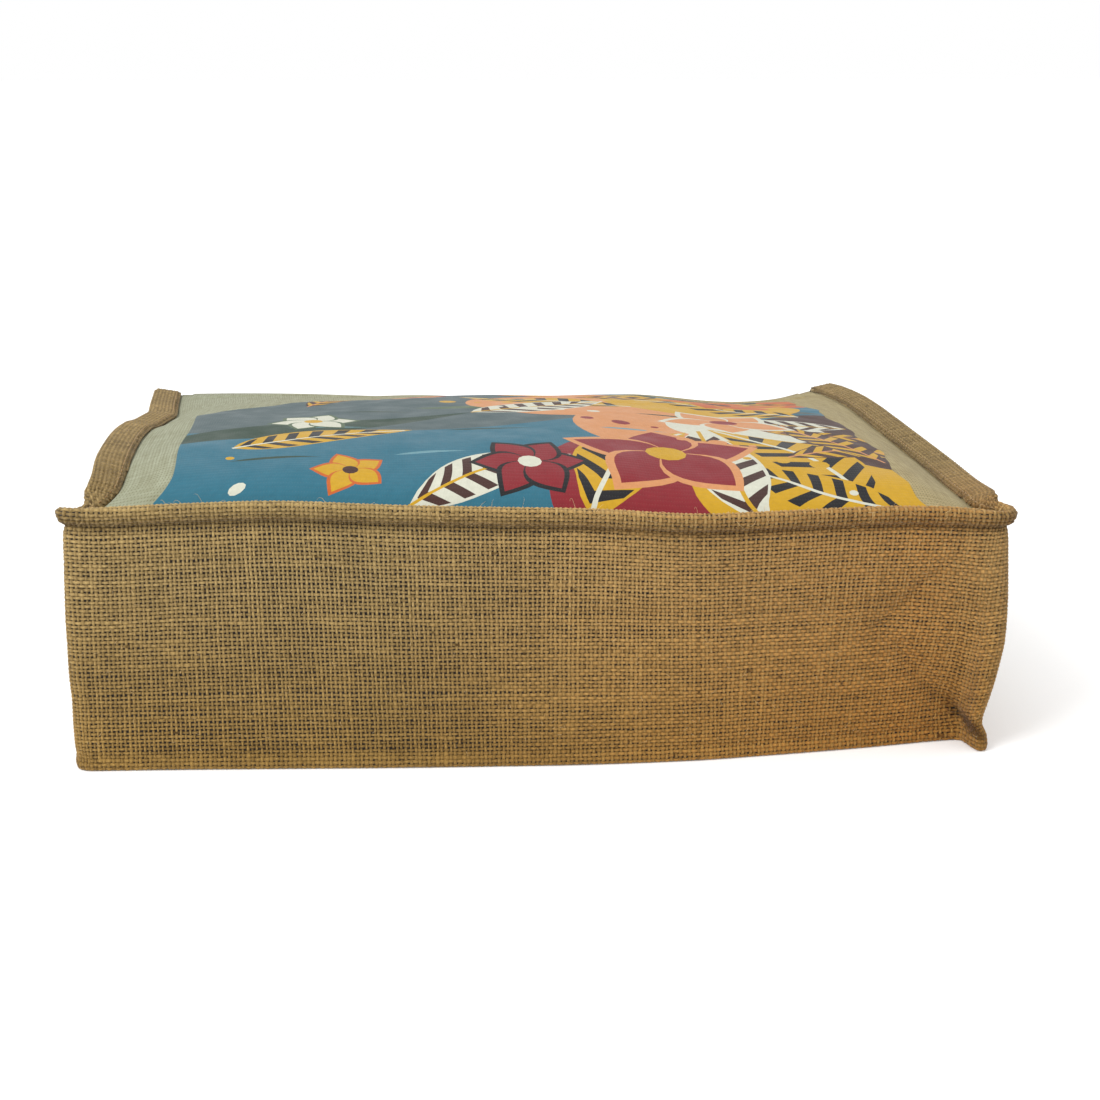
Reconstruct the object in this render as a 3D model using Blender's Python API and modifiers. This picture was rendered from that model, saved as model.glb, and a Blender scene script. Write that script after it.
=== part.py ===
"""A burlap shopping bag lying on its back panel, mouth away from the viewer.

Three cut pieces of cloth: a natural front panel, a natural back panel and one long burlap
gusset that runs down one side, across the bottom and up the other side. Both edges of the
gusset fold round the raw edges of the panels and stand out as a flange.

+X runs along the bottom of the bag, +Y from the bottom to the mouth, +Z up. Tables are in
millimetres; the meshes are in metres, with the origin under the middle of the bag.
"""

import math
from collections import namedtuple

import bmesh
import bpy
from mathutils import Vector

MM = 0.001

# Cloth, mm
GUSSET_THICK = 1.3
PANEL_THICK = 1.0
LAYER_GAP = 0.5                      # clear air between cloths that lie on each other
FLANGE_TUCK = 1.8                    # the folded-over layer stops this far from the seam line
FLANGE_ROOT = 1.2                    # the outer layer bends into the wall within this distance of it
PANEL_TUCK = 3.2                     # a panel's raw edge stops this far inside the turn
FOOT_HIGH = 6.5                      # height of the lower seam line over the table
FOOT_LEAN = 8.0                      # degrees that the lower flange leans out from straight down
FOOT_TUCK = 2.4                      # the back panel's edge reaches this far into the lower flange
FOOT_FOLD_END = 0.4                  # its folded-over layer comes back up to this share of its depth
HEM_FROM = 324.0                     # the hem at the mouth starts this far up the cloth
HEM_THICK = 2.2
HEM_ACROSS = 176.0                   # a panel's hem is doubled out to here, clear of the seams
HEM_LOW, HEM_HIGH = 14.0, 94.0       # and the gusset's between these heights

LAYER_STEP = GUSSET_THICK + PANEL_THICK + 2 * LAYER_GAP   # between middles of the two gusset layers

BURLAP_COLOUR = (0.42, 0.29, 0.14)
PANEL_COLOUR = (0.52, 0.49, 0.38)
CLOTH_ROUGHNESS = 0.92

# The seam line of the front panel, from the left end of the mouth round the bottom to the right end.
# along: cloth length from the left end. wide: seam line to the flange's rim. lean: degrees that the
# flange leans out from upright. foot_x, foot_y: the lower seam line below. bow: how far the wall
# stands out at half height.
SeamRow = namedtuple("SeamRow", "x y z wide lean foot_x foot_y bow")
# along, x, y, z, wide, lean, foot_x, foot_y, bow
SEAM_ROWS = (
    (0, -183.4, 350, 104.6, 15.0, 80, -188, 350, -13),
    (57, -179.4, 293, 106.6, 15.0, 82, -190, 293, -11),
    (110, -175.2, 240, 109.6, 15.0, 82, -192, 240, -8),
    (130, -175.6, 220, 111.4, 15.0, 81, -193, 220, -7),
    (166, -178.2, 184, 113.6, 15.0, 80, -194, 184, -5),
    (186, -179.6, 164, 116.0, 15.0, 80, -194, 164, -4),
    (218, -179.8, 132, 118.0, 15.0, 80, -195, 132, -3),
    (252, -179.2, 98, 119.0, 15.0, 79, -196, 98, -2),
    (290, -178.2, 60, 118.6, 15.0, 78, -197, 60, -1),
    (322, -178.2, 28, 113.8, 14.0, 74, -198, 26, 1),
    (333, -182.0, 18.4, 110.8, 12.4, 68, -198.6, 14, 2),
    (340, -188.0, 12.4, 108.8, 10.4, 62, -199.0, 7.6, 2),
    (345, -193.4, 8.8, 107.6, 8.6, 57, -198.4, 3.4, 2.4),
    (348, -196.8, 6.2, 106.4, 7.4, 53, -198.0, 1.2, 2.6),
    (351, -198.4, 3.2, 105.4, 6.6, 51, -197.0, -0.8, 2.6),
    (354, -197.2, 0.8, 105.4, 6.8, 47, -194.8, -2.2, 2.4),
    (358, -192.6, -0.1, 105.8, 7.6, 43, -192.0, -2.9, 1.8),
    (368, -181.0, 0.0, 105.8, 8.4, 38, -181.0, -3.2, 1.4),
    (400, -149.0, 0.0, 106.6, 8.6, 36, -148.0, -4.4, 1.0),
    (440, -110.0, 0.0, 107.0, 8.6, 36, -106.0, -6.4, 0.6),
    (487, -63.0, 0.0, 104.6, 8.6, 36, -60.0, -8.6, 0.5),
    (530, -20.0, 0.0, 103.0, 8.6, 36, -19.0, -9.8, 0.5),
    (572, 22.0, 0.0, 101.6, 8.6, 36, 20.0, -10.4, 0.5),
    (614, 64.0, 0.0, 98.8, 8.6, 36, 64.0, -8.4, 0.5),
    (648, 98.0, 0.0, 99.4, 8.6, 36, 94.0, -4.4, 0.5),
    (672, 122.0, 0.0, 100.2, 8.6, 36, 117.0, -0.8, 0.5),
    (700, 150.0, 0.0, 100.8, 8.6, 36, 142.0, 2.6, 1.0),
    (722, 172.0, 0.0, 100.4, 8.6, 38, 162.0, 7.6, 1.6),
    (730, 180.0, 0.0, 100.0, 8.4, 40, 171.0, 8.6, 2.0),
    (739, 188.8, 0.0, 99.6, 8.0, 43, 181.4, 4.2, 3.0),
    (745, 195.6, 0.5, 99.4, 7.2, 47, 188.6, -2.0, 5.0),
    (749, 199.0, 3.2, 99.4, 6.8, 50, 192.2, -3.2, 6.0),
    (752, 199.0, 6.8, 99.7, 7.6, 54, 194.4, -1.6, 6.2),
    (756, 196.4, 10.4, 100.4, 9.4, 60, 195.4, 2.4, 6.2),
    (764, 191.2, 16.6, 101.6, 12.6, 68, 195.2, 10.6, 5.4),
    (780, 188.6, 31, 102.6, 14.6, 76, 194.8, 28, 4),
    (806, 188.0, 57, 103.0, 15.0, 80, 194, 57, 1),
    (858, 189.4, 109, 103.0, 15.0, 80, 194, 109, -4),
    (902, 187.4, 153, 105.0, 15.0, 80, 193, 153, -7),
    (946, 185.4, 197, 107.0, 15.0, 80, 192, 197, -9),
    (1014, 185.6, 265, 107.0, 15.0, 80, 191, 265, -12),
    (1069, 184.2, 320, 104.8, 15.0, 79, 190, 320, -14),
    (1099, 182.4, 350, 102.6, 14.6, 78, 189, 350, -15),
)

# Troughs in the wall at the bottom. turn: degrees that the trough's long way is turned up from +X.
# x, z, long, short, turn, depth
TROUGHS = (
    (182.0, 12.0, 15.0, 6.5, -52.0, 7.0),
    (166.0, 31.0, 36.0, 12.0, -50.0, 3.4),
    (161.0, 70.0, 28.0, 8.0, 45.0, 1.8),
    (197.0, 26.0, 30.0, 17.0, 0.0, 4.8),
    (-80.0, 40.0, 110.0, 7.0, 4.0, 1.6),
    (-40.0, 27.0, 90.0, 6.0, -3.0, -1.3),
    (60.0, 58.0, 90.0, 8.0, -5.0, 1.1),
    (-150.0, 70.0, 40.0, 12.0, 20.0, 1.2),
)
TROUGHS_END = 45.0                   # they have died out this far up the sides
TROUGH_GRIP = 8.0                    # how soon they reach their depth, going away from a seam

# Height of the front panel over the smooth surface between its seams and its mouth.
# deep: distance from the bottom seam line. left, middle, right: rise at those thirds of the width.
# deep, left, middle, right
CROWN_ROWS = (
    (0, 0.0, 0.0, 0.0),
    (6, 3.0, 3.0, 2.2),
    (15, 6.6, 7.0, 5.4),
    (30, 8.6, 11.4, 9.4),
    (60, 8.4, 14.8, 13.0),
    (100, 8.0, 16.2, 14.2),
    (160, 8.6, 16.0, 12.6),
    (220, 8.8, 14.0, 9.4),
    (280, 5.4, 9.2, 5.2),
    (320, 2.4, 4.2, 2.2),
    (350, 0.0, 0.0, 0.0),
)

# Height of the front panel's mouth edge above the table, across the bag.
# x, z
MOUTH_ROWS = (
    (-183.4, 106.2), (-150, 106.2), (-112, 105.4), (-60, 103.2), (0, 101.2), (50, 102.8),
    (70, 103.0), (84, 101.8), (104, 99.8), (122, 98.4), (141, 97.8), (163, 99.4), (182.4, 104.2),
)

# Across a panel, as shares of its width, and up it, as distances from the bottom seam line.
ACROSS = (0, .008, .02, .04, .07, .11, .16, .22, .28, .34, .40, .46, .52, .58, .64, .69, .74, .78, .82,
          .85, .88, .905, .93, .95, .97, .982, .992, 1)
UP_PANEL = (0, 3.2, 7, 13, 22, 35, 52, 74, 100, 128, 158, 188, 218, 248, 276, 300, 323, 325, 350)

BOTTOM_FROM, BOTTOM_TO = 351.0, 749.0  # the corners of the bottom, along the gusset
ALL_ALONG = SEAM_ROWS[-1][0]

HAIRPIN_STEPS = 4
WALL_STEPS = 14
TUCK_SHARES = (0.12, 0.55, 1.0)      # rings of a panel's tucked edge
FLOOR_EDGE = 7.6                     # the back panel passes over its lower flange at this height
FLOOR_EDGE_FLAT = 3.4                # stays there over this distance from the seam line
FLOOR_RAMP = 24.0                    # and comes down to the table over this one
STEP_ASIDE = 2.5                     # directions are taken between places this far either side
ORIGIN = Vector((0.5, 169.6, 0))     # the middle of the bag's outline on the table


def eased(t):
    t = min(max(t, 0.0), 1.0)
    return t * t * (3 - 2 * t)


def along_rows(rows, at):
    """A smooth curve through rows whose first column is the place. Returns the other columns."""
    last = len(rows) - 2
    i = next((k for k in range(last) if at < rows[k + 1][0]), last)
    a, b = rows[i], rows[i + 1]
    before, after = rows[max(i - 1, 0)], rows[min(i + 2, last + 1)]
    span = b[0] - a[0]
    t = (at - a[0]) / span
    out = []
    for k in range(1, len(a)):
        into = (b[k] - before[k]) / (b[0] - before[0]) * span
        away = (after[k] - a[k]) / (after[0] - a[0]) * span
        out.append(
            a[k] * (1 + 2 * t) * (1 - t) ** 2 + into * t * (1 - t) ** 2
            + b[k] * t * t * (3 - 2 * t) + away * t * t * (t - 1)
        )
    return out


def stations():
    """Places along the gusset: the panel's grid lines on its left, bottom and right sides."""
    left = [BOTTOM_FROM * (1 - d / UP_PANEL[-1]) for d in reversed(UP_PANEL)]
    bottom = [BOTTOM_FROM + (BOTTOM_TO - BOTTOM_FROM) * u for u in ACROSS]
    right = [BOTTOM_TO + (ALL_ALONG - BOTTOM_TO) * d / UP_PANEL[-1] for d in UP_PANEL]
    return left[:-1] + bottom + right[1:]


def seam_at(at):
    at = min(max(at, 0), ALL_ALONG)
    return SeamRow(*along_rows(SEAM_ROWS, at))


def outward(step_x, step_y):
    """The level direction away from the bag, square to a step along a seam line."""
    return Vector((step_y, -step_x, 0)).normalized()


class Station:
    """One place along the gusset, with both seam points and the flange directions there."""

    def __init__(self, at):
        row, before, after = seam_at(at), seam_at(at - STEP_ASIDE), seam_at(at + STEP_ASIDE)
        up = Vector((0, 0, 1))
        self.wide, self.bow = row.wide, row.bow
        self.top = Vector((row.x, row.y, row.z))
        self.foot = Vector((row.foot_x, row.foot_y, FOOT_HIGH))
        self.out_top = outward(after.x - before.x, after.y - before.y)
        self.out_foot = outward(after.foot_x - before.foot_x, after.foot_y - before.foot_y)
        a, b = math.radians(row.lean), math.radians(FOOT_LEAN)
        self.top_way = self.out_top * math.sin(a) + up * math.cos(a)
        self.top_side = self.out_top * -math.cos(a) + up * math.sin(a)
        self.foot_way = self.out_foot * math.sin(b) - up * math.cos(b)
        self.foot_side = self.out_foot * -math.cos(b) - up * math.sin(b)
        turn = LAYER_STEP / 2
        self.foot_wide = (FOOT_HIGH - turn * math.sin(b) - turn - GUSSET_THICK / 2) / math.cos(b)

    def on_top(self, deep, side):
        """A point in the front flange, deep from the seam line and side from the outer layer."""
        return self.top + self.top_way * deep + self.top_side * side

    def on_foot(self, deep, side):
        return self.foot + self.foot_way * deep + self.foot_side * side

    def wall(self, t):
        """A point of the wall, from the upper seam line at 0 to the lower one at 1."""
        out = (self.out_top * (1 - t) + self.out_foot * t).normalized()
        p = self.top.lerp(self.foot, t) + out * (self.bow * 4 * t * (1 - t))
        held = min(1.0, TROUGH_GRIP * t * (1 - t))
        return p - out * (trough_at(p) * held * eased(1 - p.y / TROUGHS_END))


def trough_at(p):
    """How far the wall is pushed in at a point."""
    total = 0.0
    for x, z, long, short, turn, depth in TROUGHS:
        c, s = math.cos(math.radians(turn)), math.sin(math.radians(turn))
        a, b = (p.x - x) * c + (p.z - z) * s, (p.z - z) * c - (p.x - x) * s
        total += depth * math.exp(-((a / long) ** 2) - (b / short) ** 2)
    return total


def hairpin(point, wide):
    """Points of the turn at a flange's rim, from its outer layer to its folded-over one."""
    r = LAYER_STEP / 2
    for k in range(1, HAIRPIN_STEPS):
        a = math.pi * k / HAIRPIN_STEPS
        yield point(wide + r * math.sin(a), r - r * math.cos(a))


def gusset_section(station):
    """The middle of the gusset cloth at one station, from the front fold-over to the back one."""
    wide = station.wide - LAYER_STEP / 2
    deep = station.foot_wide
    line = [station.on_top(d, LAYER_STEP) for d in (FLANGE_TUCK, wide / 2, wide)]
    line += list(hairpin(station.on_top, wide))[::-1]
    line += [station.on_top(d, 0) for d in (wide, wide / 2, FLANGE_ROOT)]
    line += [station.wall(k / WALL_STEPS) for k in range(WALL_STEPS + 1)]
    line += [station.on_foot(d, 0) for d in (deep / 2, deep)]
    line += list(hairpin(station.on_foot, deep))
    line += [station.on_foot(d, LAYER_STEP) for d in (deep, deep * FOOT_FOLD_END)]
    return line


def new_object(name, collection, mesh, colour):
    material = bpy.data.materials.new(name + "_cloth")
    material.use_nodes = True
    shader = material.node_tree.nodes["Principled BSDF"]
    shader.inputs["Base Color"].default_value = (*colour, 1)
    shader.inputs["Roughness"].default_value = CLOTH_ROUGHNESS
    shader.inputs["Metallic"].default_value = 0.0
    mesh.materials.append(material)
    mesh.shade_smooth()
    obj = bpy.data.objects.new(name, mesh)
    collection.objects.link(obj)
    return obj


def mapped_grid(name, columns):
    """A grid primitive whose points are moved to columns[i][j], in mm."""
    wide, high = len(columns) - 1, len(columns[0]) - 1
    shape = bmesh.new()
    bmesh.ops.create_grid(shape, x_segments=wide, y_segments=high, size=0.5)
    for v in shape.verts:
        i, j = round((v.co.x + 0.5) * wide), round((v.co.y + 0.5) * high)
        v.co = (columns[i][j] - ORIGIN) * MM
    mesh = bpy.data.meshes.new(name)
    shape.to_mesh(mesh)
    shape.free()
    return mesh


def solidify(obj, thick, in_hem):
    """Gives the cloth its thickness, and a hem's thickness at the mouth where in_hem(point) is true."""
    places = [(v.index, v.co / MM + ORIGIN) for v in obj.data.vertices]
    hem = obj.vertex_groups.new(name="hem")
    hem.add([i for i, p in places if p.y > HEM_FROM and in_hem(p)], 1.0, "REPLACE")
    shell = obj.modifiers.new("cloth thickness", "SOLIDIFY")
    shell.thickness = HEM_THICK * MM
    shell.vertex_group = hem.name
    shell.thickness_vertex_group = thick / HEM_THICK
    shell.offset = 0


def make_gusset(collection):
    places = stations()
    columns = [gusset_section(Station(at)) for at in places]
    mesh = mapped_grid("gusset", columns)
    obj = new_object("gusset", collection, mesh, BURLAP_COLOUR)
    solidify(obj, GUSSET_THICK, lambda p: HEM_LOW < p.z < HEM_HIGH)


def panel_patch(edge, mouth_lift):
    """Points of a panel inside its seam line, blended from its three seams and its mouth edge."""
    width, length = BOTTOM_TO - BOTTOM_FROM, UP_PANEL[-1]
    left = [edge(Station(BOTTOM_FROM * (1 - d / length))) for d in UP_PANEL]
    right = [edge(Station(BOTTOM_TO + (ALL_ALONG - BOTTOM_TO) * d / length)) for d in UP_PANEL]
    bottom = [edge(Station(BOTTOM_FROM + width * u)) for u in ACROSS]
    mouth = [left[-1].lerp(right[-1], u) for u in ACROSS]
    for u, p in zip(ACROSS, mouth):
        p.z += mouth_lift(p.x, u)
    columns = []
    for i, u in enumerate(ACROSS):
        column = []
        for j, d in enumerate(UP_PANEL):
            v = d / length
            low, high = left[0].lerp(right[0], u), left[-1].lerp(right[-1], u)
            column.append(left[j].lerp(right[j], u) + bottom[i].lerp(mouth[i], v) - low.lerp(high, v))
        columns.append(column)
    return columns


def panel_hem(p):
    return abs(p.x) < HEM_ACROSS


def tucked_panel(name, columns, place):
    """The patch as a grid, with its seam edges extruded in rings to the raw edge in the flange.

    place(station, share) gives a point of the tucked cloth, 0 at the seam line and 1 at the raw edge.
    """
    wide, high = len(columns) - 1, len(columns[0]) - 1
    shape = bmesh.new()
    bmesh.ops.create_grid(shape, x_segments=wide, y_segments=high, size=0.5)
    at = {}
    for v in shape.verts:
        key = round((v.co.x + 0.5) * wide), round((v.co.y + 0.5) * high)
        at[key] = v
        v.co = (columns[key[0]][key[1]] - ORIGIN) * MM
    ring = [at[0, j] for j in range(high, 0, -1)]
    ring += [at[i, 0] for i in range(wide + 1)]
    ring += [at[wide, j] for j in range(1, high + 1)]
    here = [Station(s) for s in stations()]
    for share in TUCK_SHARES:
        edges = [shape.edges.get((a, b)) for a, b in zip(ring, ring[1:])]
        made = bmesh.ops.extrude_edge_only(shape, edges=edges)["geom"]
        fresh = {tuple(v.co): v for v in made if isinstance(v, bmesh.types.BMVert)}
        ring = [fresh[tuple(v.co)] for v in ring]
        for v, station in zip(ring, here):
            v.co = (place(station, share) - ORIGIN) * MM
    mesh = bpy.data.meshes.new(name)
    bmesh.ops.recalc_face_normals(shape, faces=shape.faces)
    shape.to_mesh(mesh)
    shape.free()
    return mesh


def crown(u, deep):
    """Rise of the front panel at a share of its width and a distance from the bottom seam line."""
    left, middle, right = along_rows(CROWN_ROWS, deep)
    shoulder = 0.8
    across = (
        (0, 0), (0.06, left * shoulder), (0.2, left), (0.5, middle), (0.8, right),
        (0.94, right * shoulder), (1, 0),
    )
    return along_rows(across, u)[0]


def make_front_panel(collection):
    half = LAYER_STEP / 2
    ends = MOUTH_ROWS[0][1], MOUTH_ROWS[-1][1]

    def mouth_lift(x, u):
        return along_rows(MOUTH_ROWS, x)[0] - (ends[0] * (1 - u) + ends[1] * u)

    def tucked(station, share):
        return station.on_top((station.wide - half - PANEL_TUCK) * share, half)

    columns = panel_patch(lambda s: s.on_top(0, half), mouth_lift)
    for u, column in zip(ACROSS, columns):
        for d, p in zip(UP_PANEL, column):
            p.z += crown(u, d)
    mesh = tucked_panel("front_panel", columns, tucked)
    obj = new_object("front_panel", collection, mesh, PANEL_COLOUR)
    solidify(obj, PANEL_THICK, panel_hem)


def make_back_panel(collection):
    half, width = LAYER_STEP / 2, BOTTOM_TO - BOTTOM_FROM
    columns = panel_patch(lambda s: s.on_foot(0, half), lambda x, u: 0.0)
    for u, column in zip(ACROSS, columns):
        for d, p in zip(UP_PANEL, column):
            inside = min(u * width, (1 - u) * width, d)
            floor = (HEM_THICK if d > HEM_FROM and panel_hem(p) else PANEL_THICK) / 2
            if inside > 0:
                p.z = floor + (FLOOR_EDGE - floor) * (1 - eased((inside - FLOOR_EDGE_FLAT) / FLOOR_RAMP))
    mesh = tucked_panel("back_panel", columns, lambda s, share: s.on_foot(FOOT_TUCK * share, half))
    obj = new_object("back_panel", collection, mesh, PANEL_COLOUR)
    solidify(obj, PANEL_THICK, panel_hem)


def main():
    for obj in list(bpy.data.objects):
        bpy.data.objects.remove(obj, do_unlink=True)
    collection = bpy.data.collections.new("burlap_bag")
    bpy.context.scene.collection.children.link(collection)
    make_gusset(collection)
    make_front_panel(collection)
    make_back_panel(collection)


main()
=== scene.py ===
"""Looks of a burlap shopping bag that lies on its back panel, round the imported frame.

The cloth follows the same course as the solids: a gusset of burlap that runs down the left side,
across the bottom and up the right side, with its edges folded round the raw edges of a front and a
back panel. Sizes are in millimetres, in the bag's own coordinates: x along the bottom, y from the
bottom seam line to the mouth, z up. mesh_of() turns them into metres in the frame.
"""

import math
from collections import namedtuple

import bpy
import numpy as np
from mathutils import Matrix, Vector
from mathutils.geometry import delaunay_2d_cdt


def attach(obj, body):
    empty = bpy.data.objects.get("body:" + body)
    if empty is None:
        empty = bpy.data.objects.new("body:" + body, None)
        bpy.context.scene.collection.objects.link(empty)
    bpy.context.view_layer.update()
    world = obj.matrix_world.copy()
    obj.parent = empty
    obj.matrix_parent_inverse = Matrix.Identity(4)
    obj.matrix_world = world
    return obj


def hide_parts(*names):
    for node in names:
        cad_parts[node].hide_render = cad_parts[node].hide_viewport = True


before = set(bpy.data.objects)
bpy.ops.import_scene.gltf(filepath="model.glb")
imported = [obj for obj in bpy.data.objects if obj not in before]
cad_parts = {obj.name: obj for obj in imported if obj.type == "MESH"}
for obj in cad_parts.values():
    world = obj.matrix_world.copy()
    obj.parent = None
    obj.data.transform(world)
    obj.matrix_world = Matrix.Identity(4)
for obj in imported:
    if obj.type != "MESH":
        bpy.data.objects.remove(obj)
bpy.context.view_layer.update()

MM = 0.001
ORIGIN = np.array([0.5, 169.6, 0.0])  # the frame's origin, in the bag's coordinates
UP = np.array([0.0, 0.0, 1.0])
RANDOM = np.random.default_rng(7)

# ---- the cloth's course

GUSSET_THICK, PANEL_THICK, LAYER_GAP = 1.3, 1.0, 0.5
LAYER_STEP = GUSSET_THICK + PANEL_THICK + 2 * LAYER_GAP  # from the gusset's middle to its fold-over's
HALF_STEP = LAYER_STEP / 2  # and to the middle of the panel between the two
FLANGE_ROOT, FLANGE_TUCK = 1.2, 1.8  # over the seam line: the flange's start, the fold-over's end
PANEL_TUCK = 3.2  # from the front panel's raw edge to the flange's turn
FOOT_HIGH, FOOT_LEAN = 6.5, math.radians(8.0)  # the lower seam line and its flange
FOOT_WIDE = (FOOT_HIGH - HALF_STEP * (1 + math.sin(FOOT_LEAN)) - GUSSET_THICK / 2) / math.cos(FOOT_LEAN)
FOOT_TUCK, FOOT_FOLD_END = 2.4, 0.4  # the back panel's raw edge, and the fold-over's end
HEM_FROM, HEM_THICK, HEM_ACROSS = 324.0, 2.2, 176.0

SeamRow = namedtuple("SeamRow", "x y z wide lean foot_x foot_y bow")
# along, x, y, z, wide, lean, foot_x, foot_y, bow
SEAM_ROWS = (
    (0, -183.4, 350, 104.6, 15, 80, -188, 350, -13),
    (57, -179.4, 293, 106.6, 15, 82, -190, 293, -11),
    (110, -175.2, 240, 109.6, 15, 82, -192, 240, -8),
    (130, -175.6, 220, 111.4, 15, 81, -193, 220, -7),
    (166, -178.2, 184, 113.6, 15, 80, -194, 184, -5),
    (186, -179.6, 164, 116, 15, 80, -194, 164, -4),
    (218, -179.8, 132, 118, 15, 80, -195, 132, -3),
    (252, -179.2, 98, 119, 15, 79, -196, 98, -2),
    (290, -178.2, 60, 118.6, 15, 78, -197, 60, -1),
    (322, -178.8, 27.4, 113.4, 14.1, 75, -198, 26, 1),
    (333, -182, 16.6, 110.2, 13, 75, -198.6, 14, 2),
    (340, -186.6, 10.4, 107.6, 9.4, 73, -199, 7.6, 2),
    (345, -191.8, 7, 106, 6.8, 66, -198.4, 3.4, 2.4),
    (348, -195.4, 5, 105.8, 6.4, 56, -198, 1.2, 2.6),
    (351, -198.2, 2.8, 106.2, 6.8, 46, -197, -0.8, 2.6),
    (354, -197.2, 0.8, 106.4, 7.2, 42, -194.8, -2.2, 2.4),
    (358, -192.6, -0.1, 106.2, 7.7, 41, -192, -2.9, 1.8),
    (368, -181, 0, 105.8, 8.4, 38, -181, -3.2, 1.4),
    (400, -149, 0, 106.6, 8.6, 36, -148, -4.4, 1),
    (440, -110, 0, 107, 8.6, 36, -106, -6.4, 0.6),
    (487, -63, 0, 104.6, 8.6, 36, -60, -8.6, 0.5),
    (530, -20, 0, 103, 8.6, 36, -19, -9.8, 0.5),
    (572, 22, 0, 101.6, 8.6, 36, 20, -10.4, 0.5),
    (614, 64, 0, 98.8, 8.6, 36, 64, -8.4, 0.5),
    (648, 98, 0, 99.4, 8.6, 36, 94, -4.4, 0.5),
    (672, 122, 0, 100.2, 8.6, 36, 117, -0.8, 0.5),
    (700, 150, 0, 100.8, 8.6, 36, 142, 3.6, 1),
    (722, 172, 0, 100.4, 8.6, 38, 163.2, 8, 2),
    (730, 180, 0, 100, 8.4, 40, 171.8, 9.8, 2.8),
    (739, 188.8, 0, 99.6, 8, 43, 183.6, 11.4, 3.6),
    (742, 192.4, 0.1, 99.5, 7.6, 45, 187, 9.8, 4),
    (745, 195.6, 0.5, 99.4, 7.2, 47, 188.6, 3.6, 4.4),
    (747, 197.8, 1.5, 99.4, 7, 49, 189.6, -1.8, 4.6),
    (749, 199.6, 3.2, 99.4, 6.8, 50, 191, -5, 4.6),
    (752, 199.6, 6.8, 99.7, 7.6, 54, 193.4, -3.8, 4.6),
    (756, 195.2, 10.2, 100.4, 9.2, 61, 194.4, 1.6, 4.4),
    (764, 189.8, 16.4, 101.6, 12.4, 69, 194.8, 10.6, 4),
    (780, 188.6, 31, 102.6, 14.6, 76, 194.8, 28, 4),
    (806, 188, 57, 103, 15, 80, 194, 57, 1),
    (858, 189.4, 109, 103, 15, 80, 194, 109, -4),
    (902, 187.4, 153, 105, 15, 80, 193, 153, -7),
    (946, 185.4, 197, 107, 15, 80, 192, 197, -9),
    (1014, 185.6, 265, 107, 15, 80, 191, 265, -12),
    (1069, 184.2, 320, 104.8, 15, 79, 190, 320, -14),
    (1099, 182.4, 350, 102.6, 14.6, 78, 189, 350, -15),
)
ALL_ALONG = SEAM_ROWS[-1][0]
BOTTOM_FROM, BOTTOM_TO = 351.0, 749.0  # the bottom's two corners, along the seam
WIDTH, LENGTH = BOTTOM_TO - BOTTOM_FROM, 350.0

# Soft troughs in the wall at the bottom, and one ridge
# x, z, long, short, turn, depth
TROUGHS = (
    (186, 13, 12, 7, -50, 2.4),
    (168, 32, 34, 12, -48, 2.6),
    (161, 70, 28, 8, 45, 1.6),
    (-80, 40, 110, 7, 4, 1.6),
    (-40, 27, 90, 6, -3, -1.3),
    (60, 58, 90, 8, -5, 1.1),
    (-150, 70, 40, 12, 20, 1.2),
)
# Creases with straight sides and a sharp bottom. front: 1 keeps it off the bag's side wall
# x, z, long, short, turn, depth, front
CREASES = (
    (187.4, 11.8, 8, 3.4, -54, 6, 1),
    (166, 34, 28, 6, -48, 2.2, 0),
    (161, 70, 26, 4.5, 45, 1.3, 0),
)
# The right corner is drawn in to the left above the ear: x, z, reach, high, depth
WAIST = (200.0, 15.0, 24.0, 33.0, 3.8)
TROUGHS_END = 45.0  # none of these goes further in from the bottom
TROUGH_GRIP, CREASE_GRIP = 8.0, 22.0  # how soon they reach their depth from the wall's edges
FRONT_FROM, FRONT_EASE = 0.97, 0.3  # how squarely such a wall faces front, and how that ends
# Painted shadow inside the deepest crease: x, z, turn, long, short, tone
SLIT_SHADOW = (188.4, 10.4, -54.0, 6.5, 1.9, -1.9)

# the front panel's rise: deep, left, middle, right
CROWN_ROWS = (
    (0, 0, 0, 0),
    (6, 3, 3, 2.2),
    (15, 6.6, 7, 5.4),
    (30, 8.6, 11.4, 9.4),
    (60, 8.4, 14.8, 13),
    (100, 8, 16.2, 14.2),
    (160, 8.6, 16, 12.6),
    (220, 8.8, 14, 9.4),
    (280, 5.4, 9.2, 5.2),
    (320, 2.4, 4.2, 2.2),
    (350, 0, 0, 0),
)
# share of the width, and the shares of the rises left, middle and right that hold there
CROWN_SHARES = (
    (0, 0, 0, 0), (0.06, 0.8, 0, 0), (0.2, 1, 0, 0), (0.5, 0, 1, 0), (0.8, 0, 0, 1), (0.94, 0, 0, 0.8),
    (1, 0, 0, 0),
)
RIPPLE_FADE_ACROSS, RIPPLE_FADE_UP = 1 / 12, 30.0  # its ripples fade in from the edges

# the front panel's edge at the mouth: x, z
MOUTH_ROWS = (
    (-183.4, 106.2), (-150, 106.2), (-112, 105.4), (-60, 103.2), (0, 101.2), (50, 102.8),
    (70, 103.0), (84, 101.8), (104, 99.8), (122, 98.4), (141, 97.8), (163, 99.4), (182.4, 104.2),
)

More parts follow.
